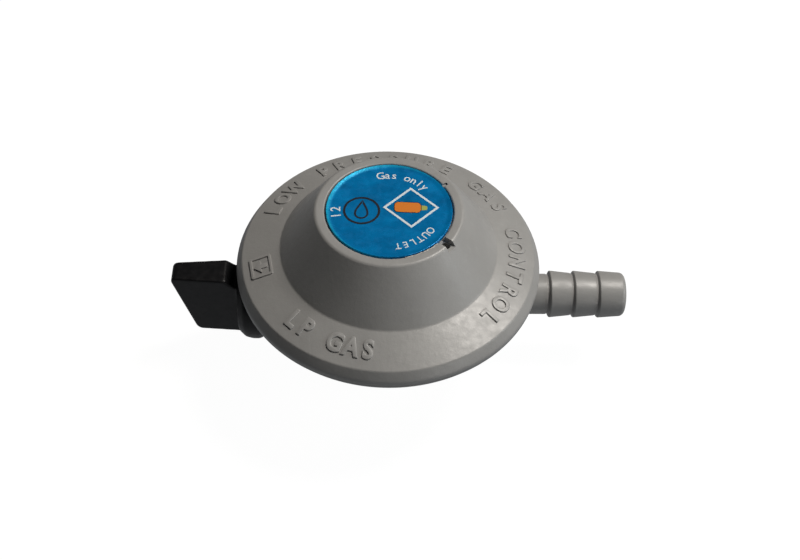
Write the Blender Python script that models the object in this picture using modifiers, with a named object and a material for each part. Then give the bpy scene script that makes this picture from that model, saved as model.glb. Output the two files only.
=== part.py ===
"""Low-pressure gas regulator with a clip-on cylinder coupling, a tap and a hose nozzle.

Sizes are in millimetres and every mesh is made in metres.  +Z is up along the
diaphragm's axis, +X runs out along the hose nozzle, and the origin is the flat
tip of the push pin, level with the end of the brass inlet nipple.
"""
import math

import bmesh
import bpy
from mathutils import Matrix, Vector

MM = 0.001
GAP = 0.3                 # room left between pieces that touch or are pressed together
WELD = 1e-6               # metres

# Driving dimensions of the casting.
FLANGE_R = 34.0           # widest point of the cover
FLANGE_Z = 26.0           # where the sloping flange breaks into the rim's side
CONE_FOOT = (24.0, 28.5)  # radius and height where the cone leaves the flange
CONE_HEAD = (16.0, 40.1)  # radius and height of the cone's rim
WALL = 2.2
RECESS_R = 13.9           # label recess
RECESS_Z = 39.1
SPLIT_Z = 21.75           # joint between cover and body, seen as the line round the rim
CLAMP_Z = 22.6            # face of the body that the cover and the diaphragm sit on
CHAMBER_R = 23.3
FLOOR_Z = 15.8            # floor of the gas chamber
SCREW_RING_R = 29.2
SCREW_COUNT = 6

# Axes of the tap, the outlet and the lever.
TAP_Z = 10.6
OUTLET_Z = 11.9
LEVER_Y = 11.0
LEVER_Z = 20.2
NOZZLE_Y = 15.5
GALLERY_Z = 9.6

# Clip-on coupling.
BARREL_R = 13.5
BARREL_BORE_R = 11.2
BARREL_END_Z = -5.6
CEILING_Z = 5.2
BALL_R = 1.6
BALL_RING_R = 12.2
BALL_Z = -0.4
BALL_COUNT = 6
COLLAR_LOW_Z = -3.3
COLLAR_HIGH_Z = 2.9
COLLAR_SHELF_Z = 0.8

# Tap and push pin.
PIN_TRAVEL = 2.5          # for a quarter turn of the tap
PIN_HEAD_Z = 9.1
CAM_REST = TAP_Z - PIN_HEAD_Z - GAP
CAM_RISE = PIN_TRAVEL / (math.pi / 2)
CAM_HALF = 3.7

ROUND = 40                # sides of the large turned pieces
MIDDLE = 20               # sides of bosses, bores and the coupling's small rings
SMALL = 14                # sides of pins, jets and screws


def clear_scene():
    for obj in list(bpy.data.objects):
        bpy.data.objects.remove(obj, do_unlink=True)


def new_collection(name):
    group = bpy.data.collections.new(name)
    bpy.context.scene.collection.children.link(group)
    return group


def material(name, colour, roughness, metallic):
    mat = bpy.data.materials.new(name)
    mat.use_nodes = True
    shader = mat.node_tree.nodes["Principled BSDF"]
    shader.inputs["Base Color"].default_value = (*colour, 1.0)
    shader.inputs["Roughness"].default_value = roughness
    shader.inputs["Metallic"].default_value = metallic
    return mat


def add(name, data, place=None, origin=(0, 0, 0)):
    """Link a new object, with its origin moved to a point on its own joint's axis."""
    shift = Matrix.Translation(Vector(origin) * MM)
    if isinstance(data, bpy.types.Mesh):
        data.transform(shift.inverted() @ (place or Matrix()))
    obj = bpy.data.objects.new(name, data)
    parts.objects.link(obj)
    obj.matrix_world = shift
    return obj


def along(start, end):
    """Matrix that takes a shape made about +Z, centred, onto the line start to end."""
    start, end = Vector(start) * MM, Vector(end) * MM
    turn = (end - start).to_track_quat("Z", "Y").to_matrix().to_4x4()
    return Matrix.Translation((start + end) / 2) @ turn


def smooth(mesh):
    mesh.shade_smooth()
    mesh.set_sharp_from_angle(angle=math.radians(35))


def rod(name, start, end, radius, sides=SMALL, origin=(0, 0, 0)):
    bm = bmesh.new()
    length = (Vector(end) - Vector(start)).length * MM
    bmesh.ops.create_cone(bm, cap_ends=True, segments=sides, radius1=radius * MM,
                          radius2=radius * MM, depth=length)
    mesh = bpy.data.meshes.new(name)
    bm.to_mesh(mesh)
    bm.free()
    smooth(mesh)
    return add(name, mesh, along(start, end), origin)


def block(name, low, high, place=None, origin=(0, 0, 0)):
    low, high = Vector(low) * MM, Vector(high) * MM
    bm = bmesh.new()
    size = Matrix.Diagonal((*(high - low), 1.0))
    bmesh.ops.create_cube(bm, size=1.0, matrix=Matrix.Translation((low + high) / 2) @ size)
    mesh = bpy.data.meshes.new(name)
    bm.to_mesh(mesh)
    bm.free()
    return add(name, mesh, place, origin)


def turned(name, outline, sides=ROUND, ring=False, axis_z=None, origin=(0, 0, 0)):
    """Turn an outline of (radius, height), which runs down its outer side.

    A ring's outline is closed on itself.  With axis_z the piece lies along +X at
    that height, and the outline's heights are distances along X.
    """
    count = len(outline)
    edges = [(i, i + 1) for i in range(count - 1)]
    if ring:
        edges.append((count - 1, 0))
    mesh = bpy.data.meshes.new(name)
    mesh.from_pydata([(r * MM, 0, z * MM) for r, z in outline], edges, [])
    obj = bpy.data.objects.new(name, mesh)
    parts.objects.link(obj)
    if axis_z is not None:
        obj.location = (0, 0, axis_z * MM)
        obj.rotation_euler = (0, math.pi / 2, 0)
    else:
        obj.location = Vector(origin) * MM
    turn = obj.modifiers.new("turn", "SCREW")
    turn.axis = "Z"
    turn.steps = sides
    turn.render_steps = sides
    turn.use_smooth_shade = True
    turn.use_merge_vertices = True
    turn.merge_threshold = WELD
    return obj


def plate(name, outline, low, high, place, origin=(0, 0, 0)):
    """Flat outline of (x, y) points, thick from low to high, set down by place."""
    curve = bpy.data.curves.new(name, "CURVE")
    curve.dimensions = "2D"
    curve.fill_mode = "BOTH"
    curve.extrude = (high - low) / 2 * MM
    spline = curve.splines.new("POLY")
    spline.points.add(len(outline) - 1)
    for point, (x, y) in zip(spline.points, outline):
        point.co = (x * MM, y * MM, 0, 1)
    spline.use_cyclic_u = True
    flat = bpy.data.objects.new(name + "_outline", curve)
    parts.objects.link(flat)
    bpy.context.view_layer.update()
    mesh = bpy.data.meshes.new_from_object(flat.evaluated_get(bpy.context.evaluated_depsgraph_get()))
    bpy.data.objects.remove(flat, do_unlink=True)
    bm = bmesh.new()
    bm.from_mesh(mesh)
    bmesh.ops.remove_doubles(bm, verts=bm.verts, dist=WELD)
    bm.to_mesh(mesh)
    bm.free()
    mesh.name = name
    rise = Matrix.Translation((0, 0, (low + high) / 2 * MM))
    return add(name, mesh, place @ rise, origin)


def coil(name, mean_radius, wire, low, high, turns):
    """Compression spring about the Z axis, from low to high over its wire."""
    points_per_turn = 12
    curve = bpy.data.curves.new(name, "CURVE")
    curve.dimensions = "3D"
    curve.bevel_depth = wire / 2 * MM
    curve.bevel_resolution = 2
    curve.use_fill_caps = True
    steps = turns * points_per_turn
    spline = curve.splines.new("POLY")
    spline.points.add(steps)
    bottom, top = low + wire / 2, high - wire / 2
    for step, point in enumerate(spline.points):
        angle = 2 * math.pi * step / points_per_turn
        height = bottom + (top - bottom) * step / steps
        place = Vector((mean_radius * math.cos(angle), mean_radius * math.sin(angle), height))
        point.co = (*(place * MM), 1)
    obj = bpy.data.objects.new(name, curve)
    parts.objects.link(obj)
    return obj


def combine(target, tool, operation):
    """Boolean step on target; the tool becomes a hidden cutter."""
    parts.objects.unlink(tool)
    cutters.objects.link(tool)
    tool.hide_render = True
    tool.display_type = "WIRE"
    step = target.modifiers.new(tool.name, "BOOLEAN")
    step.operation = operation
    step.solver = "EXACT"
    step.object = tool


def cut(target, *tools):
    for tool in tools:
        combine(target, tool, "DIFFERENCE")


def join(target, *tools):
    for tool in tools:
        combine(target, tool, "UNION")


def finish(obj, mat):
    obj.data.materials.append(mat)
    return obj


def polar(radius, degrees, height=0.0):
    angle = math.radians(degrees)
    return Vector((radius * math.cos(angle), radius * math.sin(angle), height))


def arc(centre, radius, start, end, steps):
    """Points on a flat arc, from one angle in degrees to another."""
    turn = [math.radians(start + (end - start) * i / steps) for i in range(steps + 1)]
    return [(centre[0] + radius * math.cos(a), centre[1] + radius * math.sin(a)) for a in turn]


def around(count, first=30.0):
    return [first + 360.0 / count * i for i in range(count)]


# ---- cover, label and setting spring ---------------------------------------

def cone_radius(height, inset=0.0):
    """Radius of the cover's cone at a height, or of the wall's inside."""
    run = CONE_FOOT[0] - CONE_HEAD[0]
    rise = CONE_HEAD[1] - CONE_FOOT[1]
    slant = math.hypot(run, rise)
    return CONE_HEAD[0] + (CONE_HEAD[1] - height) * run / rise - inset * slant / rise


def upper_cover(paint):
    roof = RECESS_Z - 2.5
    thread_r = 9.9
    foot_r, foot_z = CONE_FOOT
    rim_z = CONE_HEAD[1]
    skirt = SPLIT_Z + GAP / 2
    seat_z = CLAMP_Z + 1.6
    body = turned("upper_cover", [
        (RECESS_R + 0.3, rim_z),
        (CONE_HEAD[0] - 0.7, rim_z),
        (CONE_HEAD[0] - 0.1, rim_z - 0.25),
        (cone_radius(rim_z - 0.8), rim_z - 0.8),
        (cone_radius(foot_z + 0.7), foot_z + 0.7),
        (foot_r + 0.5, foot_z + 0.05),
        (FLANGE_R - 1.6, FLANGE_Z + 0.15),
        (FLANGE_R - 0.8, FLANGE_Z - 0.3),
        (FLANGE_R - 0.3, FLANGE_Z - 1.1),
        (FLANGE_R, FLANGE_Z - 2.6),
        (FLANGE_R - 0.1, skirt + 0.7),
        (FLANGE_R - 0.3, skirt),
        (31.6, skirt),
        (31.6, CLAMP_Z + GAP),
        (27.6, CLAMP_Z + GAP),
        (27.6, seat_z),
        (CHAMBER_R + 0.2, seat_z),
        (CHAMBER_R + 0.2, seat_z + 1.0),
        (cone_radius(foot_z - 1.3, WALL), foot_z - 1.3),
        (cone_radius(roof, WALL), roof),
        (thread_r, roof),
        (thread_r, RECESS_Z),
        (RECESS_R, RECESS_Z),
        (RECESS_R, rim_z - 0.3),
    ], ring=True)
    for index, degrees in enumerate(around(SCREW_COUNT), 1):
        spot = polar(SCREW_RING_R, degrees)
        cut(body, rod(f"cover_thread_{index}", spot + Vector((0, 0, CLAMP_Z - 1)),
                      spot + Vector((0, 0, CLAMP_Z + 3.4)), 1.55, 12))
    vent_at = -38.0
    turn = Matrix.Rotation(math.radians(vent_at), 4, "Z")
    vent = polar(14.9, vent_at)
    cut(body,
        block("vent_slot", (13.0, -1.1, RECESS_Z + 0.4), (18.0, 1.1, rim_z + 1), turn),
        rod("vent_hole", vent + Vector((0, 0, roof - 1)), vent + Vector((0, 0, rim_z)), 0.8, 12))
    return finish(body, paint)


def label_disc(foil):
    bottom = RECESS_Z + GAP
    return finish(rod("label_disc", (0, 0, bottom), (0, 0, bottom + 0.5), RECESS_R - GAP, ROUND), foil)


def spring_adjuster(brass):
    """Threaded plug that sets the outlet pressure, turned with a hexagon key."""
    seat_z = RECESS_Z - 1.9
    plug = turned("spring_adjuster", [
        (0, RECESS_Z - 0.2), (9.2, RECESS_Z - 0.2), (9.6, RECESS_Z - 0.6),
        (9.6, seat_z), (7.0, seat_z), (7.0, seat_z + 0.4), (0, seat_z + 0.4)], MIDDLE)
    cut(plug, rod("key_socket", (0, 0, seat_z + 0.9), (0, 0, RECESS_Z + 1), 3.4, 6))
    return finish(plug, brass)


# ---- diaphragm ---------------------------------------------------------------

def diaphragm(rubber):
    """Rubber sheet with a hanging fold, clamped between cover and body."""
    low = CLAMP_Z + GAP
    sheet = 1.0
    fold = [(18.1, 0.0), (20.4, -1.5), (22.7, 0.0)]
    top = [(1.7, low + sheet)] + [(r, low + sheet + dip) for r, dip in fold] + [(27.2, low + sheet)]
    bottom = [(27.2, low)] + [(r, low + dip) for r, dip in reversed(fold)] + [(1.7, low)]
    return finish(turned("diaphragm", top + bottom, ring=True), rubber)


def diaphragm_plate(steel):
    low = CLAMP_Z + GAP + 1.0 + GAP
    return finish(turned("diaphragm_plate", [
        (1.6, low + 0.8), (16.6, low + 0.8), (17.0, low + 0.5), (17.0, low), (1.6, low)],
        28, ring=True), steel)


def diaphragm_washer(steel):
    high = CLAMP_Z
    return finish(turned("diaphragm_washer", [
        (1.6, high), (5.0, high), (5.0, high - 0.7), (1.6, high - 0.7)], SMALL, ring=True), steel)


def diaphragm_stem(brass):
    """Riveted stem; its foot hooks under the lever's fork."""
    return finish(turned("diaphragm_stem", [
        (0, 26.3), (2.0, 26.1), (2.4, 25.3), (1.2, 25.3), (1.2, 19.2), (2.6, 19.2),
        (2.6, 18.3), (0, 18.3)], SMALL), brass)


# ---- body ----------------------------------------------------------------------

def lower_body(paint):
    """Casting with the gas chamber, the tap bore, the outlet boss and the barrel."""
    lip_z = SPLIT_Z - GAP / 2
    under_z = FLOOR_Z - 2.0
    groove_r = BARREL_R - 0.9
    body = turned("lower_body", [
        (0, FLOOR_Z), (CHAMBER_R, FLOOR_Z), (CHAMBER_R, CLAMP_Z), (31.3, CLAMP_Z),
        (31.3, lip_z), (33.2, lip_z), (33.2, lip_z - 0.65), (26.4, lip_z - 0.65),
        (25.6, under_z), (15.0, under_z), (15.0, 5.6), (BARREL_R, 5.6),
        (BARREL_R, -3.3), (groove_r, -3.3), (groove_r, -4.6), (BARREL_R, -4.6),
        (BARREL_R, BARREL_END_Z), (BARREL_BORE_R, BARREL_END_Z),
        (BARREL_BORE_R, CEILING_Z), (0, CEILING_Z)])
    join(body,
         rod("tap_boss", (-20, 0, TAP_Z), (12, 0, TAP_Z), 5.2, MIDDLE),
         rod("tap_boss_end", (-28, 0, TAP_Z), (-18, 0, TAP_Z), 7.4, MIDDLE),
         rod("outlet_boss", (14, 0, OUTLET_Z), (28.5, 0, OUTLET_Z), 6.4, MIDDLE),
         block("tap_rib", (-27.4, -2.5, 15), (-22, 2.5, lip_z - 0.3)),
         block("outlet_rib", (22, -2.5, 15), (27.9, 2.5, lip_z - 0.3)),
         rod("seat_boss", (0, NOZZLE_Y, 7.0), (0, NOZZLE_Y, FLOOR_Z - 0.5), 4.5, MIDDLE),
         rod("gallery_boss", (0, 9, GALLERY_Z), (0, 21.5, GALLERY_Z), 3.6, MIDDLE))
    for side in (-1, 1):
        inner, outer = sorted((2.5 * side, 4.5 * side))
        join(body, block(f"lever_post_{side}", (inner, LEVER_Y - 1.6, FLOOR_Z - 0.5),
                         (outer, LEVER_Y + 1.6, LEVER_Z + 1.4)))
    cut(body,
        rod("tap_bore", (-29, 0, TAP_Z), (4, 0, TAP_Z), 4.3, MIDDLE),
        rod("tap_pilot", (3, 0, TAP_Z), (9.5, 0, TAP_Z), 2.5),
        rod("gland_seat", (-29, 0, TAP_Z), (-22, 0, TAP_Z), 5.3, MIDDLE),
        rod("pin_bore", (0, 0, 6), (0, 0, TAP_Z), 3.8),
        rod("nipple_seat", (0, 0, 4), (0, 0, 6.5), 5.4, MIDDLE),
        rod("outlet_seat", (23, 0, OUTLET_Z), (29, 0, OUTLET_Z), 5.05, MIDDLE),
        rod("outlet_bore", (16, 0, OUTLET_Z), (24, 0, OUTLET_Z), 2.7),
        rod("outlet_port", (18.5, 0, OUTLET_Z), (18.5, 0, 20.5), 2.4),
        rod("seat_thread", (0, NOZZLE_Y, GALLERY_Z), (0, NOZZLE_Y, FLOOR_Z + 1), 2.5),
        rod("gallery", (0, 2.5, GALLERY_Z), (0, 22, GALLERY_Z), 1.6, 16),
        rod("plug_seat", (0, 18.4, GALLERY_Z), (0, 22, GALLERY_Z), 2.4),
        rod("lever_pin_hole", (-6, LEVER_Y, LEVER_Z), (6, LEVER_Y, LEVER_Z), 1.0, 12))
    for index, degrees in enumerate(around(BALL_COUNT), 1):
        cut(body, rod(f"ball_hole_{index}", polar(BARREL_BORE_R - 1.5, degrees, BALL_Z),
                      polar(BARREL_R + 1.5, degrees, BALL_Z), BALL_R + GAP, 12))
    for index, degrees in enumerate(around(SCREW_COUNT), 1):
        spot = polar(SCREW_RING_R, degrees)
        cut(body, rod(f"screw_hole_{index}", spot + Vector((0, 0, lip_z - 1.5)),
                      spot + Vector((0, 0, CLAMP_Z + 1)), 1.6, 12))
    return finish(body, paint)


def cover_screws(steel):
    head_z = SPLIT_Z - GAP / 2 - 0.65 - GAP
    for index, degrees in enumerate(around(SCREW_COUNT), 1):
        spot = polar(SCREW_RING_R, degrees)
        screw = turned(f"cover_screw_{index}", [
            (0, CLAMP_Z + 3.1), (0.9, CLAMP_Z + 3.1), (1.25, CLAMP_Z + 2.7), (1.25, head_z),
            (2.3, head_z), (2.3, head_z - 0.8), (1.9, head_z - 1.2), (0, head_z - 1.2)],
            10, origin=spot)
        slot = block(f"screw_slot_{index}", (-3, -0.3, head_z - 2), (3, 0.3, head_z - 0.6),
                     Matrix.Translation(spot * MM))
        cut(screw, slot)
        finish(screw, steel)


def hose_barb(paint):
    """Nozzle with three ridges that grip a rubber hose, pressed into the outlet boss."""
    bore, shank, valley, ridge, tip = 2.7, 4.75, 5.0, 5.45, 54.8
    outline = [(bore, tip), (valley - 1.4, tip), (valley - 0.4, tip - 0.45), (valley + 0.1, tip - 1.6)]
    for ridge_x in (48.8, 43.1, 37.5):
        outline += [(ridge, ridge_x + 0.25), (ridge, ridge_x - 0.15)]
        outline.append((valley if ridge_x > 40 else shank, ridge_x - 0.75))
    outline += [(shank, 23.3), (bore, 23.3)]
    return finish(turned("hose_barb", outline, 24, ring=True, axis_z=OUTLET_Z), paint)


# ---- seat, nozzle and lever ------------------------------------------------------

def inlet_nozzle(brass):
    """Jet that the lever's seat closes, screwed into the body from the chamber."""
    low, face = 12.4, FLOOR_Z + GAP
    return finish(turned("inlet_nozzle", [
        (0.5, face + 1.5), (1.0, face + 1.5), (1.4, face + 0.8), (3.4, face + 0.8), (3.4, face),
        (2.2, face), (2.2, low), (0.5, low)], SMALL, ring=True, origin=(0, NOZZLE_Y, 0)), brass)


def gallery_plug(brass):
    return finish(rod("gallery_plug", (0, 18.8, GALLERY_Z), (0, 21.3, GALLERY_Z), 2.1, 16), brass)


def valve_lever(brass):
    """See-saw lever: the fork takes the stem's foot and the short arm carries the seat."""
    slot, half, fork = 1.55, 2.0, 3.4
    end = 17.2
    outline = [(half, end), (-half, end), (-half, 3.4), (-fork, 3.4), (-fork, -3.2), (-slot, -3.2)]
    outline += arc((0, 0), slot, 180, 0, 8)
    outline += [(slot, -3.2), (fork, -3.2), (fork, 3.4), (half, 3.4)]
    pivot = (0, LEVER_Y, LEVER_Z)
    lever = plate("valve_lever", outline, LEVER_Z - 0.6, LEVER_Z + 0.6, Matrix(), pivot)
    join(lever, rod("lever_hub", (-half, LEVER_Y, LEVER_Z), (half, LEVER_Y, LEVER_Z), 1.5))
    cut(lever, rod("lever_bore", (-3, LEVER_Y, LEVER_Z), (3, LEVER_Y, LEVER_Z), 1.0, 16))
    return finish(lever, brass)


def seat_pad(rubber):
    top = LEVER_Z - 0.6 - GAP
    return finish(rod("seat_pad", (0, NOZZLE_Y, top - 1.0), (0, NOZZLE_Y, top), 1.8, 16,
                      (0, LEVER_Y, LEVER_Z)), rubber)


def lever_pin(steel):
    return finish(rod("lever_pin", (-4.4, LEVER_Y, LEVER_Z), (4.4, LEVER_Y, LEVER_Z), 0.7, 12), steel)


# ---- tap ---------------------------------------------------------------------------

def cam_outline():
    """Involute cam in (y, z) about the tap's axis.

    Its reach straight down grows evenly from CAM_REST by PIN_TRAVEL over a quarter turn.
    """
    points = []
    steps = 12
    for step in range(steps + 1):
        turn = math.radians(96.0) * step / steps
        reach = CAM_REST + CAM_RISE * turn
        down = Vector((-math.sin(turn), -math.cos(turn)))
        side = Vector((-math.cos(turn), math.sin(turn)))
        points.append(tuple(down * reach + side * CAM_RISE))
    core = CAM_REST - 0.02
    return points + arc((0, 0), core, 130, -80, 8)


def tap_spindle(brass):
    neck, barrel, groove = 2.9, 4.0, 2.2
    spindle = turned("tap_spindle", [
        (0, -3.4), (barrel, -3.4), (barrel, -18.1), (groove, -18.1), (groove, -20.3),
        (barrel, -20.3), (barrel, -22.0), (neck, -22.0), (neck, -32.2), (neck - 0.5, -32.7),
        (0, -32.7)], MIDDLE, axis_z=TAP_Z)
    pilot = rod("spindle_pilot", (3.4, 0, TAP_Z), (9.0, 0, TAP_Z), 2.2)
    # The plate's own x, y and z become the tap's y, z and x.
    stand = Matrix(((0, 0, 1, 0), (1, 0, 0, 0), (0, 1, 0, TAP_Z * MM), (0, 0, 0, 1)))
    cam = plate("spindle_cam", cam_outline(), -CAM_HALF, CAM_HALF, stand)
    join(spindle, cam, pilot)
    cut(spindle, rod("spindle_pin_hole", (-30.6, 0, TAP_Z - 5), (-30.6, 0, TAP_Z + 5), 1.2, 12))
    return finish(spindle, brass)


def spindle_oring(rubber):
    major, minor, at = 3.3, 0.8, -19.2
    bpy.ops.mesh.primitive_torus_add(major_radius=major * MM, minor_radius=minor * MM,
                                     major_segments=16, minor_segments=6)
    ring = bpy.context.object
    ring.name = "spindle_oring"
    ring.data.transform(Matrix.Translation((at * MM, 0, 0)) @ Matrix.Rotation(math.pi / 2, 4, "Y"))
    ring.location = (0, 0, TAP_Z * MM)
    for group in ring.users_collection:
        group.objects.unlink(ring)
    parts.objects.link(ring)
    smooth(ring.data)
    return finish(ring, rubber)


def spindle_gland(brass):
    return finish(turned("spindle_gland", [
        (3.2, -22.3), (5.0, -22.3), (5.0, -28.2), (3.2, -28.2)], MIDDLE, ring=True,
        axis_z=TAP_Z), brass)


def tap_knob(plastic):
    """Wing knob: a round hub and one flat blade that tapers to a slanted outer end."""
    high, half = 8.9, 2.55
    knob = turned("tap_knob", [
        (0, -28.7), (9.4, -28.7), (9.9, -29.5), (9.9, -31.0), (9.5, -32.7), (8.1, -34.2), (7.1, -34.6),
        (6.8, -37.0), (0, -37.0)], 24, axis_z=TAP_Z)
    outline = [(-31.4, 4.7), (-34.5, 4.7), (-37.3, high), (-48.0, high)]
    outline += arc((-48.0, high - 1.3), 1.3, 60, 180, 2)
    outline += [(-46.9, 0.0)]
    outline += arc((-42.9, 1.8 - high), 1.8, 195, 270, 3)
    outline += [(-31.4, -high)]
    # The plate's own x, y and z become the tap's x, z and -y.
    stand = Matrix(((1, 0, 0, 0), (0, 0, -1, 0), (0, 1, 0, TAP_Z * MM), (0, 0, 0, 1)))
    blade = plate("knob_blade", outline, -half, half, stand)
    for vert in blade.data.vertices:
        vert.co.y *= 1 + 0.028 * (vert.co.x / MM + 49.3)
    join(knob, blade)
    cut(knob,
        rod("knob_bore", (-28, 0, TAP_Z), (-33, 0, TAP_Z), 3.3, MIDDLE),
        rod("knob_pin_hole", (-30.6, 0, TAP_Z - 12), (-30.6, 0, TAP_Z + 5), 1.2, 12))
    return finish(knob, plastic)


def knob_pin(steel):
    """Rolled spring pin that locks the knob to the spindle, driven in from below."""
    low, high = TAP_Z - 9.2, TAP_Z + 4.6
    return finish(turned("knob_pin", [(0.45, high), (0.9, high), (0.9, low), (0.45, low)], 12,
                         ring=True, origin=(-30.6, 0, 0)), steel)


# ---- coupling ------------------------------------------------------------------------

def push_pin(brass):
    """Pin that the cam drives down to open the cylinder's valve."""
    return finish(turned("push_pin", [
        (0, PIN_HEAD_Z), (2.7, PIN_HEAD_Z), (3.0, PIN_HEAD_Z - 0.3), (3.0, PIN_HEAD_Z - 1.2),
        (1.5, PIN_HEAD_Z - 1.2), (1.5, 0.3), (1.2, 0), (0, 0)], SMALL), brass)


def inlet_nipple(brass):
    return finish(turned("inlet_nipple", [
        (3.8, 6.2), (5.1, 6.2), (5.1, 3.4), (7.4, 3.4), (7.4, 2.2), (4.2, 2.2), (4.2, 0.5),
        (3.7, 0), (2.0, 0), (2.0, 3.2), (3.8, 3.2)], MIDDLE, ring=True), brass)


def inlet_gasket(rubber):
    high = CEILING_Z - GAP
    return finish(turned("inlet_gasket", [
        (5.7, high), (10.7, high), (10.7, high - 1.2), (5.7, high - 1.2)], 24, ring=True), rubber)


def release_collar(paint):
    """Sliding sleeve; its flared bore lets the balls move out when it is lifted."""
    flare = 0.25
    ball_clear = BALL_RING_R + BALL_R + GAP + 0.05

    def bore(height):
        return ball_clear + flare * (BALL_Z - height)

    outer = 16.3
    return finish(turned("release_collar", [
        (15.2, COLLAR_HIGH_Z), (outer - 0.4, COLLAR_HIGH_Z), (outer, COLLAR_HIGH_Z - 0.4),
        (outer, COLLAR_LOW_Z + 0.4), (outer - 0.4, COLLAR_LOW_Z), (bore(COLLAR_LOW_Z), COLLAR_LOW_Z),
        (bore(COLLAR_SHELF_Z), COLLAR_SHELF_Z), (15.2, COLLAR_SHELF_Z)], ring=True), paint)


def collar_stop_ring(steel):
    """Open snap ring in the barrel's groove that keeps the collar on."""
    low, high = -4.3, -3.6
    ring = turned("collar_stop_ring", [
        (12.9, high), (15.5, high), (15.5, low), (12.9, low)], ring=True)
    cut(ring, block("stop_ring_gap", (12, -1.5, low - 1), (17, 1.5, high + 1)))
    return finish(ring, steel)


def lock_balls(steel):
    for index, degrees in enumerate(around(BALL_COUNT), 1):
        bm = bmesh.new()
        bmesh.ops.create_uvsphere(bm, u_segments=10, v_segments=6, radius=BALL_R * MM)
        mesh = bpy.data.meshes.new(f"lock_ball_{index}")
        bm.to_mesh(mesh)
        bm.free()
        smooth(mesh)
        spot = polar(BALL_RING_R, degrees, BALL_Z)
        finish(add(f"lock_ball_{index}", mesh, Matrix.Translation(spot * MM), spot), steel)


def springs(steel):
    """The setting spring over the diaphragm, the push pin's spring and the collar's spring."""
    plate_z = CLAMP_Z + GAP + 1.0 + GAP + 0.8
    finish(coil("main_spring", 8.5, 1.4, plate_z + GAP + 0.05, RECESS_Z - 2.25, 5), steel)
    finish(coil("push_pin_spring", 2.65, 0.5, 3.2 + GAP, PIN_HEAD_Z - 1.5, 3), steel)
    finish(coil("collar_spring", 14.4, 0.6, COLLAR_SHELF_Z + GAP, 5.6 - GAP, 3), steel)


def main():
    grey = material("grey_paint", (0.30, 0.29, 0.28), 0.45, 0.0)
    black = material("black_plastic", (0.012, 0.012, 0.014), 0.35, 0.0)
    foil = material("blue_foil", (0.02, 0.22, 0.55), 0.25, 0.6)
    rubber = material("black_rubber", (0.02, 0.02, 0.02), 0.7, 0.0)
    brass = material("brass", (0.70, 0.50, 0.22), 0.3, 1.0)
    steel = material("zinc_plated_steel", (0.55, 0.55, 0.56), 0.3, 1.0)
    upper_cover(grey)
    label_disc(foil)
    spring_adjuster(brass)
    springs(steel)
    diaphragm(rubber)
    diaphragm_plate(steel)
    diaphragm_washer(steel)
    diaphragm_stem(brass)
    lower_body(grey)
    cover_screws(steel)
    hose_barb(grey)
    inlet_nozzle(brass)
    gallery_plug(brass)
    valve_lever(brass)
    seat_pad(rubber)
    lever_pin(steel)
    tap_spindle(brass)
    spindle_oring(rubber)
    spindle_gland(brass)
    tap_knob(black)
    knob_pin(steel)
    push_pin(brass)
    inlet_nipple(brass)
    inlet_gasket(rubber)
    release_collar(grey)
    collar_stop_ring(steel)
    lock_balls(steel)


clear_scene()
parts = new_collection("gas_regulator")
cutters = new_collection("cutters")
main()
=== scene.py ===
"""Looks of the clip-on gas regulator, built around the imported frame.

Lengths are millimetres and meshes are made in metres, in the frame's own axes:
+Z up the diaphragm's axis, +X out along the hose nozzle.
"""
import math

import bmesh
import bpy
from mathutils import Matrix, Vector


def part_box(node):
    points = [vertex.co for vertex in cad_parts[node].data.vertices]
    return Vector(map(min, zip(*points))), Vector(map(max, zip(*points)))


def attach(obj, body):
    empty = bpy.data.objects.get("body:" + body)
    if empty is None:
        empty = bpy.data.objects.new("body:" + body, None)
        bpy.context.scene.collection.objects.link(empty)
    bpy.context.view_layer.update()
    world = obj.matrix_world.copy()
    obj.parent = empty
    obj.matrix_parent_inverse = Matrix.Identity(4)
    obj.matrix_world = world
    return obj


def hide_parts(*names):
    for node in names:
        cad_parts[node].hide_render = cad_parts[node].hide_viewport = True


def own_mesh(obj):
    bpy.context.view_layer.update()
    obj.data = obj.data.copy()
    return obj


MM = 0.001
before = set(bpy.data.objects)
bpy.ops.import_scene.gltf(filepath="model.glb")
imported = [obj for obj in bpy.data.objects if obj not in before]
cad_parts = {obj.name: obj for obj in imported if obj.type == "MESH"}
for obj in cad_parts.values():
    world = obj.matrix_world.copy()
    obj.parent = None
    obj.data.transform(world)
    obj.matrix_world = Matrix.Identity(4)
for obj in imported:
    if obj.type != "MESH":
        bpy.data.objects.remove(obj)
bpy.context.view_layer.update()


def low(node):
    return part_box(node)[0] / MM


def high(node):
    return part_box(node)[1] / MM


# Driving sizes, read from the frame where a node gives them.
FLANGE_R = high("upper_cover").x
RIM_Z = high("upper_cover").z
SKIRT_Z = low("upper_cover").z
LABEL_R = high("label_disc").x
LABEL_Z = high("label_disc").z
CLAMP_Z = high("diaphragm").z - 1.3
TAP_Z = (low("tap_knob").z + high("tap_knob").z) / 2
OUTLET_Z = (low("hose_barb").z + high("hose_barb").z) / 2
NOZZLE_END = high("hose_barb").x
BARREL_END = low("lower_body").z
FOOT_R, FOOT_Z = 24.0, 28.5        # foot of the cover's cone
HEAD_R = 16.0                      # radius of the cone at its rim
BREAK_Z = FOOT_Z - 2.5             # where the sloping flange turns down
RECESS_R = LABEL_R + 0.3
RECESS_Z = LABEL_Z - 0.8
VENT_AT = -38.0
FLOOR_Z = 15.8
LIP_R = high("lower_body").x
BARREL_R = 13.5
BARREL_BORE_R = 11.2
CEILING_Z = 5.2
BALL_Z = -0.4
LEVER_Y, LEVER_Z = 11.0, 20.2
GALLERY_Z = (low("gallery_plug").z + high("gallery_plug").z) / 2
GAP = 0.3                          # room between cover, body and screws
LIP_THICK = 0.65                   # edge of the body under the cover
SCREW_CIRCLE_R = 29.2
PRINT_LIFT = 0.02                  # print stands this far off the foil
SIXTHS = [30 + 60 * k for k in range(6)]  # degrees of the screws and the lock balls
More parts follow.
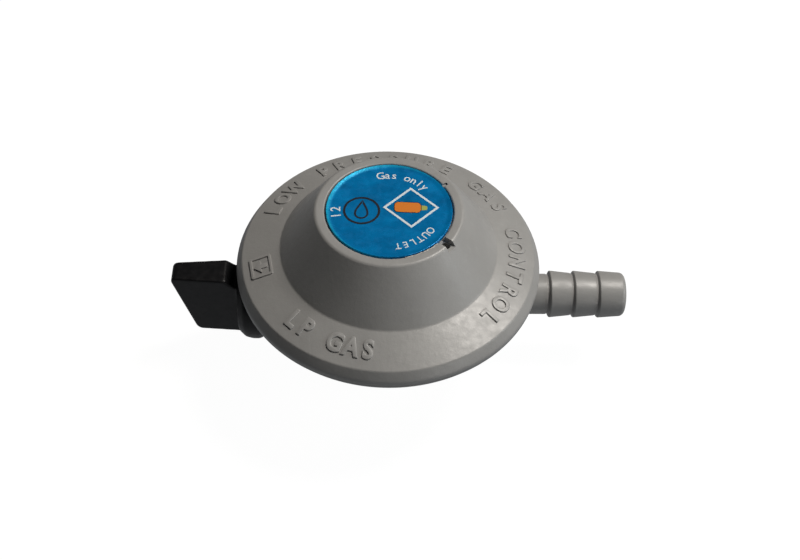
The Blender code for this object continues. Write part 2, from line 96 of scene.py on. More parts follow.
FINE, MEDIUM, COARSE = 192, 72, 40  # sides of turned pieces


# ---- shaders ----------------------------------------------------------------

class Shader:
    """A Principled material with short calls for the nodes that feed it."""

    def __init__(self, name, colour, roughness, metallic=0.0, specular=0.5, coat=0.0, coat_roughness=0.1):
        self.mat = bpy.data.materials.new(name)
        self.mat.use_nodes = True
        self.tree = self.mat.node_tree
        self.bsdf = self.tree.nodes["Principled BSDF"]
        for socket, value in (("Base Color", (*colour, 1)), ("Roughness", roughness), ("Metallic", metallic),
                              ("Specular IOR Level", specular), ("Coat Weight", coat),
                              ("Coat Roughness", coat_roughness)):
            self.bsdf.inputs[socket].default_value = value
        self.place = self.tree.nodes.new("ShaderNodeTexCoord").outputs["Object"]
        self.surface = None

    def node(self, kind, inputs=(), **settings):
        made = self.tree.nodes.new("ShaderNode" + kind)
        for key, value in settings.items():
            setattr(made, key, value)
        for socket, value in dict(inputs).items():
            if isinstance(value, bpy.types.NodeSocket):
                self.tree.links.new(value, made.inputs[socket])
            else:
                made.inputs[socket].default_value = value
        return made

    def noise(self, per_mm, detail=3.0, rough=0.55, stretch=None):
        place = self.place
        if stretch:
            place = self.node("Mapping", {"Vector": place, "Scale": stretch}).outputs[0]
        return self.node("TexNoise", {"Vector": place, "Scale": per_mm / MM, "Detail": detail,
                                      "Roughness": rough}).outputs["Fac"]

    def levels(self, value, lowest, highest, dark, light):
        return self.node("MapRange", {"Value": value, "From Min": lowest, "From Max": highest,
                                      "To Min": dark, "To Max": light}).outputs[0]

    def tint(self, value, colours, stops=None):
        ramp = self.node("ValToRGB", {"Fac": value})
        stops = stops or [i / (len(colours) - 1) for i in range(len(colours))]
        band = ramp.color_ramp
        while len(band.elements) < len(colours):
            band.elements.new(0.5)
        for element, stop, colour in zip(band.elements, stops, colours):
            element.position = stop
            element.color = (*colour, 1)
        return ramp.outputs[0]

    def mix(self, factor, first, second, blend="MIX"):
        made = self.node("Mix", data_type="RGBA", blend_type=blend)
        for socket, value in ((0, factor), (6, first), (7, second)):
            if isinstance(value, bpy.types.NodeSocket):
                self.tree.links.new(value, made.inputs[socket])
            else:
                made.inputs[socket].default_value = value if socket == 0 else (*value, 1)
        return made.outputs[2]

    def feed(self, socket, value):
        self.tree.links.new(value, self.bsdf.inputs[socket])

    def bump(self, value, depth, strength=1.0):
        """Relief of depth millimetres; several calls stack."""
        made = self.node("Bump", {"Height": value, "Distance": depth * MM, "Strength": strength})
        if self.surface:
            self.tree.links.new(self.surface, made.inputs["Normal"])
        self.surface = made.outputs[0]
        self.feed("Normal", self.surface)


def scaled(colour, factor):
    return tuple(min(1.0, channel * factor) for channel in colour)


def casting_paint(name, colour, roughness=0.37):
    """Satin stoving paint over a die casting: orange peel, fine grain, faint handling marks, and a painted
    seam shadow just above the cover's lower edge.
    """
    mat = Shader(name, colour, roughness, specular=0.55)
    cloud = mat.levels(mat.noise(0.09, 4), 0.3, 0.7, 0, 1)
    grain = mat.levels(mat.noise(3.2, 2), 0.35, 0.65, 0, 1)
    rubbed = mat.levels(mat.noise(0.35, 8, 0.65, (1, 1, 0.6)), 0.60, 0.72, 0, 1)
    base = mat.tint(cloud, [scaled(colour, 0.93), colour, scaled(colour, 1.06)])
    base = mat.mix(mat.levels(grain, 0, 1, 0, 0.16), base, scaled(colour, 0.80))
    base = mat.mix(mat.levels(rubbed, 0, 1, 0, 0.24), base, scaled(colour, 1.32))
    streak = mat.levels(mat.noise(0.8, 6, 0.7, (1, 0.12, 0.12)), 0.66, 0.70, 0, 1)
    base = mat.mix(mat.levels(streak, 0, 1, 0, 0.18), base, scaled(colour, 1.45))
    # Painted shade: a dark band about 0.45 to 1.1 mm above the height of the cover's lower edge, standing in
    # for the shadow in the seam between cover and body.
    height = mat.node("SeparateXYZ", {0: mat.place}).outputs["Z"]
    seam = mat.levels(height, (SKIRT_Z + 0.45) * MM, (SKIRT_Z + 0.7) * MM, 0, 1)
    above = mat.levels(height, (SKIRT_Z + 0.8) * MM, (SKIRT_Z + 1.1) * MM, 0.5, 0)
    painted_seam_shade = mat.node("Math", {0: seam, 1: above}, operation="MULTIPLY").outputs[0]
    base = mat.mix(painted_seam_shade, base, scaled(colour, 0.25))
    mat.feed("Base Color", base)
    mat.feed("Roughness", mat.levels(mat.noise(0.5, 4), 0.3, 0.7, roughness - 0.06, roughness + 0.09))
    mat.bump(mat.noise(0.9, 2), 0.035)
    mat.bump(mat.noise(5.0, 2), 0.012)
    return mat.mat


def moulded_plastic(name, colour):
    mat = Shader(name, colour, 0.38, specular=0.3)
    mat.feed("Base Color", mat.tint(mat.noise(0.25, 3), [scaled(colour, 0.75), scaled(colour, 1.3)]))
    mat.feed("Roughness", mat.levels(mat.noise(0.8, 5), 0.3, 0.7, 0.30, 0.48))
    mat.bump(mat.noise(4.0, 2), 0.012)
    mat.bump(mat.noise(0.35, 2), 0.03)
    return mat.mat


def printed_foil(name):
    """Blue lacquered foil: soft cloudy patches, a fine crinkle and a painted cyan highlight round the
    turned-up edge.
    """
    deep, middle, bright, edge = (0.0, 0.17, 0.44), (0.0, 0.22, 0.56), (0.0, 0.27, 0.66), (0.01, 0.50, 0.78)
    mat = Shader(name, middle, 0.3, metallic=0.35, specular=0.4, coat=0.12, coat_roughness=0.10)
    cloud = mat.levels(mat.noise(0.16, 5, 0.62, (1, 1.6, 1)), 0.34, 0.66, 0, 1)
    base = mat.tint(cloud, [deep, middle, bright])
    speck = mat.levels(mat.noise(1.1, 4, 0.7), 0.55, 0.75, 0, 0.45)
    base = mat.mix(speck, base, bright)
    # Painted highlight: the outer ring is mixed towards bright cyan (edge) to stand in for the reflection on
    # the turned-up rim. It is centred off the middle so it is widest towards the back left.
    level = mat.node("Mapping", {"Vector": mat.place, "Location": (-0.5 * MM, 0.4 * MM, 0),
                                 "Scale": (1, 1, 0)}).outputs[0]
    reach = mat.node("VectorMath", {0: level}, operation="LENGTH").outputs["Value"]
    edge_glint = mat.levels(reach, (LABEL_R - 0.5) * MM, (LABEL_R + 0.2) * MM, 0, 0.8)
    mat.feed("Base Color", mat.mix(edge_glint, base, edge))
    mat.feed("Roughness", mat.levels(mat.noise(0.6, 3), 0.3, 0.7, 0.20, 0.34))
    mat.bump(mat.noise(0.5, 4), 0.05)
    mat.bump(mat.noise(2.5, 3), 0.012)
    return mat.mat


def ink(name, colour, roughness=0.45):
    mat = Shader(name, colour, roughness)
    mat.feed("Base Color", mat.tint(mat.noise(2.5, 4), [scaled(colour, 0.82), colour]))
    mat.bump(mat.noise(6.0, 2), 0.004)
    return mat.mat


def turned_metal(name, colour, roughness, lathe_marks=0.006):
    """Machined metal: fine turning lines, small stains and varied gloss."""
    mat = Shader(name, colour, roughness, metallic=1.0)
    stain = mat.levels(mat.noise(0.4, 6, 0.65), 0.35, 0.7, 0, 1)
    mat.feed("Base Color", mat.tint(stain, [colour, scaled(colour, 0.82), scaled(colour, 0.62)], [0, 0.6, 1]))
    mat.feed("Roughness", mat.levels(mat.noise(1.2, 4), 0.3, 0.7, roughness - 0.07, roughness + 0.12))
    mat.bump(mat.noise(6.0, 2, stretch=(0.15, 0.15, 1)), lathe_marks)
    return mat.mat


def soft_rubber(name, colour):
    mat = Shader(name, colour, 0.7, specular=0.3)
    mat.feed("Base Color", mat.tint(mat.noise(1.0, 4), [scaled(colour, 0.7), scaled(colour, 1.6)]))
    mat.bump(mat.noise(4.0, 3), 0.02)
    return mat.mat


def floor_paper(name):
    mat = Shader(name, (0.08, 0.08, 0.08), 0.85, specular=0.1)
    mat.bsdf.inputs["Emission Color"].default_value = (1, 1, 1, 1)
    mat.bsdf.inputs["Emission Strength"].default_value = 0.975
    mat.bump(mat.noise(0.8, 3), 0.01)
    return mat.mat


# ---- shapes -----------------------------------------------------------------

def rounded(corners, closed=False, step=10.0):
    """Outline through (x, y, radius) corners, each rounded by its own radius."""
    points = []
    count = len(corners)
    for i, (x, y, radius) in enumerate(corners):
        here = Vector((x, y))
        if radius <= 0 or (not closed and i in (0, count - 1)):
            points.append((x, y))
            continue
        back = Vector(corners[i - 1][:2]) - here
        ahead = Vector(corners[(i + 1) % count][:2]) - here
        half = back.angle(ahead) / 2
        reach = min(radius / math.tan(half), back.length * 0.49, ahead.length * 0.49)
        radius = reach * math.tan(half)
        centre = here + (back.normalized() + ahead.normalized()).normalized() * (radius / math.sin(half))
        first = here + back.normalized() * reach - centre
        sweep = first.angle_signed(here + ahead.normalized() * reach - centre)
        steps = max(2, round(abs(math.degrees(sweep)) / step))
        for k in range(steps + 1):
            spoke = first.copy()
            spoke.rotate(Matrix.Rotation(-sweep * k / steps, 2))
            points.append(tuple(centre + spoke))
    return points


def new_object(name, mesh, material=None):
    obj = bpy.data.objects.new(name, mesh)
    bpy.context.scene.collection.objects.link(obj)
    if material:
        mesh.materials.append(material)
    return obj


def tidy(mesh, sharp=32):
    bm = bmesh.new()
    bm.from_mesh(mesh)
    bmesh.ops.remove_doubles(bm, verts=bm.verts, dist=1e-7)
    bmesh.ops.dissolve_degenerate(bm, edges=bm.edges, dist=1e-8)
    bmesh.ops.recalc_face_normals(bm, faces=bm.faces)
    bm.to_mesh(mesh)
    bm.free()
    mesh.shade_smooth()
    mesh.set_sharp_from_angle(angle=math.radians(sharp))


ALONG_X = Matrix.Rotation(math.pi / 2, 4, "Y")


def lathe(name, outline, material=None, sides=FINE, closed=False, at=(0, 0, 0), turn=Matrix(), sharp=32):
    """Turn an outline of (radius, height) about Z, then set it down at a point."""
    count = len(outline)
    verts = []
    for side in range(sides):
        angle = 2 * math.pi * side / sides
        verts += [(r * math.cos(angle) * MM, r * math.sin(angle) * MM, z * MM) for r, z in outline]
    faces = []
    for side in range(sides):
        here, beyond = side * count, (side + 1) % sides * count
        for i in range(count if closed else count - 1):
            j = (i + 1) % count
            faces.append((here + i, here + j, beyond + j, beyond + i))
    mesh = bpy.data.meshes.new(name)
    mesh.from_pydata(verts, [], faces)
    mesh.transform(Matrix.Translation(Vector(at) * MM) @ turn)
    tidy(mesh, sharp)
    return new_object(name, mesh, material)


def rod(start, end, radius, sides=MEDIUM, edge=0.0, name="rod"):
    start, end = Vector(start), Vector(end)
    length = (end - start).length
    turn = (end - start).to_track_quat("Z", "Y").to_matrix().to_4x4()
    outline = rounded([(0, length, 0), (radius, length, edge), (radius, 0, edge), (0, 0, 0)])
    return lathe(name, outline, sides=sides, at=start, turn=turn)


def block(lowest, highest, turn=Matrix(), edge=0.0, name="block"):
    lowest, highest = Vector(lowest) * MM, Vector(highest) * MM
    bm = bmesh.new()
    size = Matrix.Diagonal((*(highest - lowest), 1))
    bmesh.ops.create_cube(bm, size=1, matrix=turn @ Matrix.Translation((lowest + highest) / 2) @ size)
    if edge:
        bmesh.ops.bevel(bm, geom=bm.edges[:], offset=edge * MM, segments=3, affect="EDGES", profile=0.5)
    mesh = bpy.data.meshes.new(name)
    bm.to_mesh(mesh)
    bm.free()
    tidy(mesh)
    return new_object(name, mesh)


def evaluated(obj):
    bpy.context.view_layer.update()
    graph = bpy.context.evaluated_depsgraph_get()
    return bpy.data.meshes.new_from_object(obj.evaluated_get(graph))


def carve(obj, joins=(), cuts=(), sharp=32):
    """Join and cut with other shapes, which are used up."""
    for operation, tools in (("UNION", joins), ("DIFFERENCE", cuts)):
        for tool in tools:
            step = obj.modifiers.new("step", "BOOLEAN")
            step.operation = operation
            step.solver = "EXACT"
            step.object = tool
    mesh = evaluated(obj)
    obj.modifiers.clear()
    obj.data = mesh
    for tool in (*joins, *cuts):
        bpy.data.objects.remove(tool, do_unlink=True)
    tidy(mesh, sharp)
    return obj


def fuse(obj, voxel, steps, name, material):
    """Melt overlapping shapes into one skin, with the soft fillets of a moulding."""
    remesh = obj.modifiers.new("melt", "REMESH")
    remesh.mode = "VOXEL"
    remesh.voxel_size = voxel * MM
    relax = obj.modifiers.new("relax", "SMOOTH")
    relax.factor = 0.5
    relax.iterations = steps
    mesh = evaluated(obj)
    bpy.data.objects.remove(obj, do_unlink=True)
    mesh.shade_smooth()
    mesh.materials.clear()
    return new_object(name, mesh, material)


def slab(outline, thickness, turn=Matrix(), bevel=0.0, name="slab", holes=()):
    """Flat outline of (x, y) points made thick about its own plane."""
    curve = bpy.data.curves.new(name, "CURVE")
    curve.dimensions = "2D"
    curve.fill_mode = "BOTH"
    curve.bevel_depth = bevel * MM
    curve.bevel_resolution = 2
    curve.offset = -bevel * MM
    curve.extrude = (thickness / 2 - bevel) * MM
    for loop in (outline, *holes):
        spline = curve.splines.new("POLY")
        spline.points.add(len(loop) - 1)
        for point, (x, y) in zip(spline.points, loop):
            point.co = (x * MM, y * MM, 0, 1)
        spline.use_cyclic_u = True
    flat = bpy.data.objects.new(name, curve)
    bpy.context.scene.collection.objects.link(flat)
    mesh = evaluated(flat)
    bpy.data.objects.remove(flat, do_unlink=True)
    mesh.transform(turn)
    tidy(mesh)
    return new_object(name, mesh)


def merged(name, objects, material):
    """One piece made of several shapes that lie side by side."""
    bm = bmesh.new()
    for obj in objects:
        bm.from_mesh(obj.data)
        bpy.data.objects.remove(obj, do_unlink=True)
    mesh = bpy.data.meshes.new(name)
    bm.to_mesh(mesh)
    bm.free()
    mesh.shade_smooth()
    mesh.set_sharp_from_angle(angle=math.radians(40))
    return new_object(name, mesh, material)


def glyph(letter, size, thickness, bevel, turn, weight):
    font = bpy.data.curves.new("glyph", "FONT")
    font.body = letter
    font.size = size * MM
    font.align_x = "CENTER"
    font.align_y = "CENTER"
    font.extrude = (thickness / 2 - bevel) * MM
    font.bevel_depth = bevel * MM
    font.bevel_resolution = 2
    font.offset = weight * MM
    font.resolution_u = 6
    flat = bpy.data.objects.new("glyph", font)
    bpy.context.scene.collection.objects.link(flat)
    mesh = evaluated(flat)
    bpy.data.objects.remove(flat, do_unlink=True)
    mesh.transform(turn)
    tidy(mesh, 40)
    return new_object("glyph", mesh)


def stand_on(radius, degrees, height, slope=0.0, outward=True):
    """Matrix of a spot on a cone about Z: x runs round it and y points out, or in."""
    spin = Matrix.Rotation(math.radians(degrees - 90), 4, "Z")
    lift = Matrix.Translation(Vector((0, radius, height)) * MM)
    tilt = Matrix.Rotation(-math.radians(slope), 4, "X")
    face = Matrix.Identity(4) if outward else Matrix.Rotation(math.pi, 4, "Z")
    return spin @ lift @ tilt @ face


def arc_text(words, middle, pitch, radius, height, size, thickness, bevel=0.0, slope=0.0, outward=True,
             narrow=1.0, weight=0.0):
    """Letters along an arc: clockwise with their tops outward, or the other way with them inward."""
    way = -1 if outward else 1
    made = []
    for i, letter in enumerate(words):
        if letter != " ":
            degrees = middle + way * (i - (len(words) - 1) / 2) * pitch
            place = stand_on(radius, degrees, height, slope, outward)
            squeeze = Matrix.Diagonal((narrow, 1, 1, 1))
            made.append(glyph(letter, size, thickness, bevel, place @ squeeze, weight))
    return made


def polar(radius, degrees, height=0.0):
    angle = math.radians(degrees)
    return Vector((radius * math.cos(angle), radius * math.sin(angle), height))


def place(obj, body, slot, *nodes):
    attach(obj, body)
    if nodes:
        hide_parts(*nodes)
    return obj


# ---- materials ----------------------------------------------------------------

GREY = (0.318, 0.316, 0.308)
cover_paint = casting_paint("cover_paint", GREY)
body_paint = casting_paint("body_paint", scaled(GREY, 0.95), 0.46)
nozzle_paint = casting_paint("nozzle_paint", scaled(GREY, 0.98), 0.40)
bare_casting = casting_paint("bare_casting", (0.55, 0.53, 0.49), 0.35)
collar_paint = casting_paint("collar_paint", scaled(GREY, 0.9), 0.44)
knob_black = moulded_plastic("knob_black", (0.006, 0.006, 0.007))
foil = printed_foil("label_foil")
white_ink = ink("white_ink", (0.78, 0.86, 0.90))
black_ink = ink("black_ink", (0.004, 0.006, 0.012))
orange_ink = ink("orange_ink", (0.78, 0.22, 0.015))
lime_ink = ink("lime_ink", (0.42, 0.45, 0.10))
brass = turned_metal("turned_brass", (0.72, 0.50, 0.22), 0.30)
plated = turned_metal("plated_steel", (0.62, 0.60, 0.56), 0.30)
wire = turned_metal("spring_wire", (0.50, 0.50, 0.51), 0.28, 0.003)
rubber = soft_rubber("black_rubber", (0.018, 0.018, 0.019))


# ---- cover --------------------------------------------------------------------

def cone_r(height, inset=0.0):
    run, rise = FOOT_R - HEAD_R, RIM_Z - FOOT_Z
    return HEAD_R + (RIM_Z - height) * run / rise - inset * math.hypot(run, rise) / rise


def make_cover():
    seat = CLAMP_Z + 1.6
    roof = RECESS_Z - 2.5
    outline = rounded([
        (RECESS_R, RIM_Z, 0.35), (cone_r(RIM_Z), RIM_Z, 1.0), (FOOT_R, FOOT_Z, 0.9),
        (FLANGE_R - 1.45, BREAK_Z - 0.05, 0.7), (FLANGE_R, BREAK_Z - 2.4, 2.0),
        (FLANGE_R - 0.2, SKIRT_Z, 0.5),
        (31.6, SKIRT_Z, 0.1), (31.6, CLAMP_Z + 0.3, 0), (27.6, CLAMP_Z + 0.3, 0), (27.6, seat, 0),
        (23.5, seat, 0.3), (23.5, seat + 1.2, 0.5), (cone_r(FOOT_Z - 1.3, 2.2), FOOT_Z - 1.3, 1.0),
        (cone_r(roof, 2.2), roof, 1.0), (9.9, roof, 0.2), (9.9, RECESS_Z, 0.2), (RECESS_R, RECESS_Z, 0.15),
    ], closed=True, step=8)
    cover = lathe("cover_casting", outline, cover_paint, closed=True)
    spin = Matrix.Rotation(math.radians(VENT_AT), 4, "Z")
    nick = Matrix.Rotation(math.radians(32), 4, "Z")
    vent = polar(15.1, VENT_AT)
    carve(cover, cuts=[
        block((12.6, -1.1, RECESS_Z - 0.2), (18.5, 1.1, RIM_Z + 1), spin, 0.15),
        rod(vent + Vector((0, 0, roof - 1)), vent + Vector((0, 0, RIM_Z)), 0.95, COARSE),
        block((13.0, -0.35, RIM_Z - 0.45), (15.0, 0.35, RIM_Z + 1), nick, 0.1)])
    place(cover, "housing", "cover_paint", "upper_cover")
    burr = bpy.data.curves.new("rim_burr", "CURVE")
    burr.dimensions = "3D"
    burr.bevel_depth = 0.17 * MM
    burr.bevel_resolution = 3
    burr.use_fill_caps = True
    spline = burr.splines.new("POLY")
    spline.points.add(26)
    for k, point in enumerate(spline.points):
        wander = 0.09 * math.sin(2.1 * k) + 0.06 * math.sin(5.3 * k)
        point.co = (*(polar(RECESS_R + 0.12 + wander, -44 - 1.25 * k, RIM_Z - 0.02 + 0.5 * wander) * MM), 1)
        point.radius = 0.6 + 0.35 * math.sin(3.7 * k) * math.sin(math.pi * k / 26)
    burr.materials.append(bare_casting)
    ridge = bpy.data.objects.new("rim_burr", burr)
    bpy.context.scene.collection.objects.link(ridge)
    place(ridge, "housing", "cover_paint")


def flange_z(radius):
    return FOOT_Z - (radius - FOOT_R) * (FOOT_Z - BREAK_Z) / (FLANGE_R - 1.3 - FOOT_R)


def make_lettering():
    """Raised plain words round the flange, and a small framed arrow."""
    radius = 28.4
    slope = math.degrees(math.atan2(FOOT_Z - BREAK_Z, FLANGE_R - 1.3 - FOOT_R))
    proud, depth = 0.12, 0.6
    height = flange_z(radius) + proud - depth / 2 + 0.12
    style = dict(radius=radius, height=height, thickness=depth, bevel=0.15, slope=slope)
    letters = arc_text("LP GAS", -117, 7.3, size=5.7, narrow=0.84, weight=0.12, outward=False, **style)
    letters += arc_text("LOW PRESSURE GAS CONTROL", 57.5, 8.6, size=5.2, narrow=0.86, weight=0.08, **style)
    spot = stand_on(radius, 191, height, slope)
    frame_out = rounded([(-2.9, -2.5, 0.5), (2.9, -2.5, 0.5), (2.9, 2.5, 0.5), (-2.9, 2.5, 0.5)], closed=True)
    frame_in = rounded([(-2.3, -1.9, 0.3), (-2.3, 1.9, 0.3), (2.3, 1.9, 0.3), (2.3, -1.9, 0.3)], closed=True)
    arrow = [(-0.6, -1.4), (0.6, -1.4), (0.6, 0.0), (1.7, 0.0), (0, 1.6), (-1.7, 0.0), (-0.6, 0.0)]
    letters += [slab(frame_out, depth, spot, 0.08, holes=[frame_in]), slab(arrow, depth, spot, 0.08)]
    return place(merged("cover_lettering", letters, cover_paint), "housing", "cover_paint")


# ---- label ---------------------------------------------------------------------

def make_label():
    """Thin pressed foil whose edge turns up a little all round."""
    bottom = low("label_disc").z
    outline = rounded([(0, LABEL_Z, 0), (LABEL_R - 1.0, LABEL_Z, 2.0), (LABEL_R - 0.1, LABEL_Z + 0.26, 0.06),
                       (LABEL_R, LABEL_Z + 0.1, 0.05), (LABEL_R, bottom, 0), (0, bottom, 0)])
    label = lathe("label_plate", outline, foil, sharp=50)
    return place(label, "housing", "label_foil", "label_disc")


def on_label(x, y, degrees=0.0):
    spot = Matrix.Translation(Vector((x, y, LABEL_Z + PRINT_LIFT)) * MM)
    return spot @ Matrix.Rotation(math.radians(degrees), 4, "Z")


def ring_outline(corners, width):
    """Outer and inner loops of a line of this width round a shape."""
    centre = sum((Vector(c) for c in corners), Vector((0, 0))) / len(corners)
    inner = []
    for corner in corners:
        spoke = Vector(corner) - centre
        inner.append(tuple(centre + spoke * (1 - width * 1.3 / spoke.length)))
    return corners, inner


def make_print():
    """Generic marks: plain words, a flame in a circle, and a capsule in a diamond."""
    thin = 0.05
    flat = dict(height=LABEL_Z + PRINT_LIFT, thickness=thin, bevel=0.0)
    white = arc_text("Gas only", 71, 8.4, radius=10.3, size=2.9, narrow=0.95, weight=0.02, **flat)
    white += arc_text("OUTLET", -57, 9.2, radius=10.4, size=2.4, narrow=0.92, weight=0.02, **flat)
    white += arc_text("12", 184, 9.6, radius=11.4, size=3.0, narrow=0.95, weight=0.03, **flat)
    outer, inner = ring_outline([(6.05, 0), (0, 5.95), (-6.05, 0), (0, -5.95)], 0.55)
    white.append(slab(outer, thin, on_label(4.7, 0.8), holes=[inner]))
    place(merged("label_white_print", white, white_ink), "housing", "label_foil")
    circle = [tuple(polar(3.75, 10 * k).xy) for k in range(36)]
    flame = []
    for k in range(40):
        turn = 2 * math.pi * k / 40
        flame.append((1.9 * math.sin(turn) * math.sin(turn / 2) ** 1.5, 2.5 * math.cos(turn)))
    black = [stroke(circle, 0.50, thin, on_label(-5.9, -0.2)),
             stroke(flame, 0.42, thin, on_label(-5.9, 0.1, -4))]
    capsule_spot = on_label(4.5, 0.8, -3)
    capsule = rounded([(-3.4, -1.5, 0.9), (1.9, -1.5, 0.6), (2.4, -0.7, 0.2), (2.4, 0.7, 0.2),
                       (1.9, 1.5, 0.6), (-3.4, 1.5, 0.9)], closed=True)
    black.append(stroke(capsule, 0.14, thin + 0.01, capsule_spot))
    place(merged("label_black_print", black, black_ink), "housing", "label_foil")
    place(merged("label_orange_print", [slab(capsule, thin, capsule_spot)], orange_ink),
          "housing", "label_foil")
    tip = rounded([(2.4, -0.7, 0.1), (3.7, -0.6, 0.4), (3.7, 0.6, 0.4), (2.4, 0.7, 0.1)], closed=True)
    place(merged("label_lime_print", [slab(tip, thin, capsule_spot)], lime_ink), "housing", "label_foil")


def stroke(loop, width, thickness, turn):
    """Line of even width along a closed loop."""
    outer, inner = [], []
    count = len(loop)
    for i in range(count):
        here = Vector(loop[i])
        along = (Vector(loop[(i + 1) % count]) - Vector(loop[i - 1])).normalized()
        side = Vector((along.y, -along.x)) * width / 2
        outer.append(tuple(here + side))
        inner.append(tuple(here - side))
    return slab(outer, thickness, turn, holes=[inner])


# ---- body ------------------------------------------------------------------------

def make_body():
    lip = SKIRT_Z - GAP
    under = FLOOR_Z - 2.0
    outline = rounded([
        (0, FLOOR_Z, 0), (23.3, FLOOR_Z, 0.8), (23.3, CLAMP_Z, 0), (31.3, CLAMP_Z, 0), (31.3, lip, 0),
        (LIP_R, lip, 0.28), (LIP_R, lip - LIP_THICK, 0.3), (26.3, lip - LIP_THICK, 1.2), (25.5, under, 1.6),
        (15, under, 1.2), (15, 5.6, 0.4), (BARREL_R, 5.6, 0.5), (BARREL_R, -3.3, 0.1), (12.6, -3.3, 0),
        (12.6, -4.6, 0),
        (BARREL_R, -4.6, 0.1), (BARREL_R, BARREL_END, 0.5), (BARREL_BORE_R, BARREL_END, 0.4),
        (BARREL_BORE_R, CEILING_Z, 0.3), (0, CEILING_Z, 0)], step=12)
    body = lathe("body_casting", outline, body_paint)
    joins = [
        rod((-20, 0, TAP_Z), (12, 0, TAP_Z), 5.2, edge=0.8),
        rod((-28, 0, TAP_Z), (-18, 0, TAP_Z), 7.4, edge=0.7),
        rod((14, 0, OUTLET_Z), (28.5, 0, OUTLET_Z), 6.4, edge=0.7),
        block((-27.4, -2.5, 15), (-22, 2.5, lip - 0.3), edge=0.6),
        block((22, -2.5, 15), (27.9, 2.5, lip - 0.3), edge=0.6),
        rod((0, 15.5, 7.0), (0, 15.5, FLOOR_Z - 0.5), 4.5, edge=0.8),
        rod((0, 9, GALLERY_Z), (0, 21.5, GALLERY_Z), 3.6, edge=0.5)]
    for side in (-1, 1):
        inner, outer = sorted((2.5 * side, 4.5 * side))
        joins.append(block((inner, LEVER_Y - 1.6, FLOOR_Z - 0.5), (outer, LEVER_Y + 1.6, LEVER_Z + 1.4),
                           edge=0.3))
    cuts = [
        rod((-29, 0, TAP_Z), (4, 0, TAP_Z), 4.3), rod((3, 0, TAP_Z), (9.5, 0, TAP_Z), 2.5, COARSE),
        rod((-29, 0, TAP_Z), (-22, 0, TAP_Z), 5.3), rod((0, 0, 6), (0, 0, TAP_Z), 3.8),
        rod((0, 0, 4), (0, 0, 6.5), 5.4), rod((23, 0, OUTLET_Z), (29, 0, OUTLET_Z), 5.05),
        rod((16, 0, OUTLET_Z), (24, 0, OUTLET_Z), 2.7, COARSE),
        rod((18.5, 0, OUTLET_Z), (18.5, 0, 20.5), 2.4, COARSE),
        rod((0, 15.5, GALLERY_Z), (0, 15.5, FLOOR_Z + 1), 2.5, COARSE),
        rod((0, 2.5, GALLERY_Z), (0, 22, GALLERY_Z), 1.6, COARSE),
        rod((0, 18.4, GALLERY_Z), (0, 22, GALLERY_Z), 2.4, COARSE),
        rod((-6, LEVER_Y, LEVER_Z), (6, LEVER_Y, LEVER_Z), 1.0, 24)]
    for degrees in SIXTHS:
        ball, screw = polar(1, degrees), polar(SCREW_CIRCLE_R, degrees)
        cuts.append(rod(ball * 9.7 + Vector((0, 0, BALL_Z)), ball * 15 + Vector((0, 0, BALL_Z)), 1.9, COARSE))
        cuts.append(rod(screw + Vector((0, 0, lip - 1.5)), screw + Vector((0, 0, CLAMP_Z + 1)), 1.6, 24))
    carve(body, joins, cuts)
    return place(body, "housing", "body_paint", "lower_body")


def make_screws():
    head = SKIRT_Z - GAP - LIP_THICK - GAP
    for k, degrees in enumerate(SIXTHS):
        spot = polar(SCREW_CIRCLE_R, degrees)
        outline = rounded([(0, CLAMP_Z + 3.1, 0), (0.9, CLAMP_Z + 3.1, 0), (1.25, CLAMP_Z + 2.7, 0),
                           (1.25, head, 0.1), (2.3, head, 0.1), (2.3, head - 0.7, 0.5),
                           (1.6, head - 1.2, 0.6), (0, head - 1.2, 0)])
        screw = lathe(f"cover_screw_{k + 1}_fine", outline, plated, MEDIUM, at=spot)
        turn = Matrix.Translation(spot * MM) @ Matrix.Rotation(math.radians(25 + 47 * k), 4, "Z")
        carve(screw, cuts=[block((-3, -0.3, head - 2), (3, 0.3, head - 0.6), turn)])
        place(screw, "housing", "plated_steel", f"cover_screw_{k + 1}")


def make_nozzle():
    """Three ridges, each with a fine groove before it and a slight taper after."""
    bore, shank, valley, ridge = 2.7, 4.75, 5.0, 5.45
    start, tip = low("hose_barb").x, NOZZLE_END
    corners = [(bore, tip, 0.3), (valley, tip, 1.7)]
    for ridge_x in (48.8, 43.1, 37.5):
        neck = valley if ridge_x > 40 else shank
        corners += [(ridge, ridge_x - 0.1, 0.3), (neck - 0.25, ridge_x - 0.5, 0.12),
                    (neck - 0.05, ridge_x - 1.0, 0.2)]
    corners += [(shank, start, 0.2), (bore, start, 0.1)]
    nozzle = lathe("nozzle_casting", rounded(corners, closed=True), nozzle_paint, 128, closed=True,
                   at=(0, 0, OUTLET_Z), turn=ALONG_X)
    return place(nozzle, "housing", "nozzle_paint", "hose_barb")


# ---- tap -----------------------------------------------------------------------------

